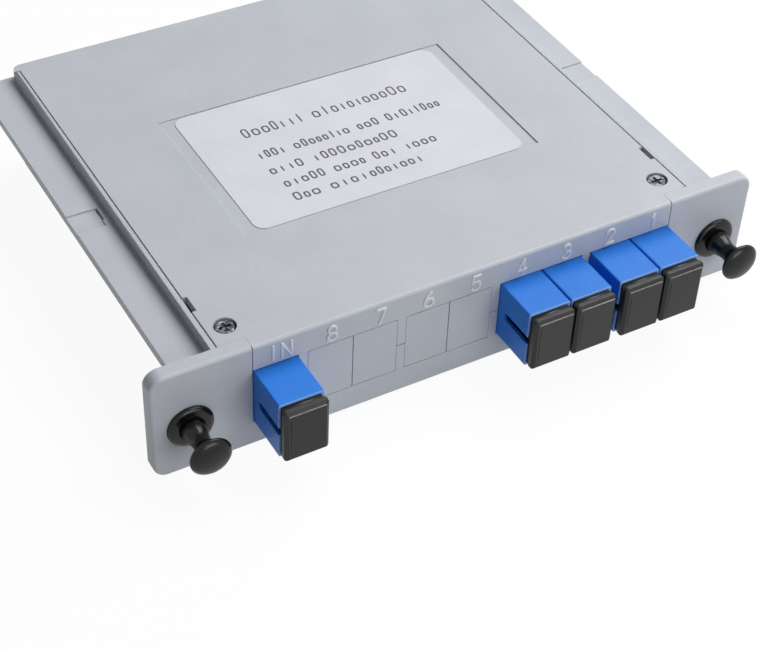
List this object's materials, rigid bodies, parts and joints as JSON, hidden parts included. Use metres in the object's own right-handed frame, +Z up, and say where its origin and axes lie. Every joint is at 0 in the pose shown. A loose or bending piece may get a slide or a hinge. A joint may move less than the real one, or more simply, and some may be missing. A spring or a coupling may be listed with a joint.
{
  "type": "fibre optic splitter cassette",
  "caption": "Plug-in fibre optic splitter: a flat grey cassette with side rails, a front panel of blue adapters with black dust caps, blanked ports and push-pull latches.",
  "frame": {"origin": "on the underside, midway along the panel, in the plane of the panel's seating (back) face", "axes": "+X along the panel towards port 1, +Y to the back of the cassette, +Z up; ports face -Y"},
  "size_m": [0.13, 0.113, 0.024],
  "materials": {
    "case_grey": "fine satin moulded ABS, light grey",
    "label_white": "matt coated paper",
    "adapter_blue": "satin moulded PBT, blue",
    "cap_black": "soft moulded polyethylene, black",
    "latch_black": "glossy nylon, black",
    "screw_steel": "zinc plated",
    "holder_white": "natural moulded plastic",
    "ceramic_white": "polished zirconia",
    "connector_blue": "satin moulded plastic, blue",
    "boot_rubber": "soft moulded rubber",
    "fibre_jacket": "smooth extruded jacket, white",
    "module_steel": "drawn steel tube",
    "chip_glass": "ground glass and cured adhesive"
  },
  "bodies": {
    "cassette": {"base_housing": "case_grey", "top_cover": "case_grey", "label_sticker": "label_white", "fibre_in": "fibre_jacket", "module_case": "module_steel", "splitter_chip": "chip_glass", "module_cap_in": "boot_rubber", "module_cap_out": "boot_rubber", "cover_screw_left": "screw_steel", "latch_grommet_left": "latch_black", "cover_screw_right": "screw_steel", "latch_grommet_right": "latch_black", "blanking_plate_8": "case_grey", "blanking_plate_7": "case_grey", "blanking_plate_6": "case_grey", "blanking_plate_5": "case_grey", "fibre_1": "fibre_jacket", "fibre_2": "fibre_jacket", "fibre_3": "fibre_jacket", "fibre_4": "fibre_jacket", "adapter_in": "adapter_blue", "sleeve_holder_in": "holder_white", "split_sleeve_in": "ceramic_white", "connector_in": "connector_blue", "ferrule_in": "ceramic_white", "boot_in": "boot_rubber", "adapter_4": "adapter_blue", "sleeve_holder_4": "holder_white", "split_sleeve_4": "ceramic_white", "connector_4": "connector_blue", "ferrule_4": "ceramic_white", "boot_4": "boot_rubber", "adapter_3": "adapter_blue", "sleeve_holder_3": "holder_white", "split_sleeve_3": "ceramic_white", "connector_3": "connector_blue", "ferrule_3": "ceramic_white", "boot_3": "boot_rubber", "adapter_2": "adapter_blue", "sleeve_holder_2": "holder_white", "split_sleeve_2": "ceramic_white", "connector_2": "connector_blue", "ferrule_2": "ceramic_white", "boot_2": "boot_rubber", "adapter_1": "adapter_blue", "sleeve_holder_1": "holder_white", "split_sleeve_1": "ceramic_white", "connector_1": "connector_blue", "ferrule_1": "ceramic_white", "boot_1": "boot_rubber"},
    "dust_cap_in": {"dust_cap_in": "cap_black"},
    "dust_cap_4": {"dust_cap_4": "cap_black"},
    "dust_cap_3": {"dust_cap_3": "cap_black"},
    "dust_cap_2": {"dust_cap_2": "cap_black"},
    "dust_cap_1": {"dust_cap_1": "cap_black"},
    "latch_plunger_left": {"latch_plunger_left": "latch_black"},
    "latch_plunger_right": {"latch_plunger_right": "latch_black"}
  },
  "joints": [
    {"name": "cap_in_pull", "type": "slide", "parent": "cassette", "child": "dust_cap_in", "axis": [0, -1, 0], "range_m": [0, 0.014]},
    {"name": "cap_4_pull", "type": "slide", "parent": "cassette", "child": "dust_cap_4", "axis": [0, -1, 0], "range_m": [0, 0.014]},
    {"name": "cap_3_pull", "type": "slide", "parent": "cassette", "child": "dust_cap_3", "axis": [0, -1, 0], "range_m": [0, 0.014]},
    {"name": "cap_2_pull", "type": "slide", "parent": "cassette", "child": "dust_cap_2", "axis": [0, -1, 0], "range_m": [0, 0.014]},
    {"name": "cap_1_pull", "type": "slide", "parent": "cassette", "child": "dust_cap_1", "axis": [0, -1, 0], "range_m": [0, 0.014]},
    {"name": "latch_left_push", "type": "slide", "parent": "cassette", "child": "latch_plunger_left", "axis": [0, 1, 0], "range_m": [0, 0.0055]},
    {"name": "latch_right_push", "type": "slide", "parent": "cassette", "child": "latch_plunger_right", "axis": [0, 1, 0], "range_m": [0, 0.0055]}
  ]
}
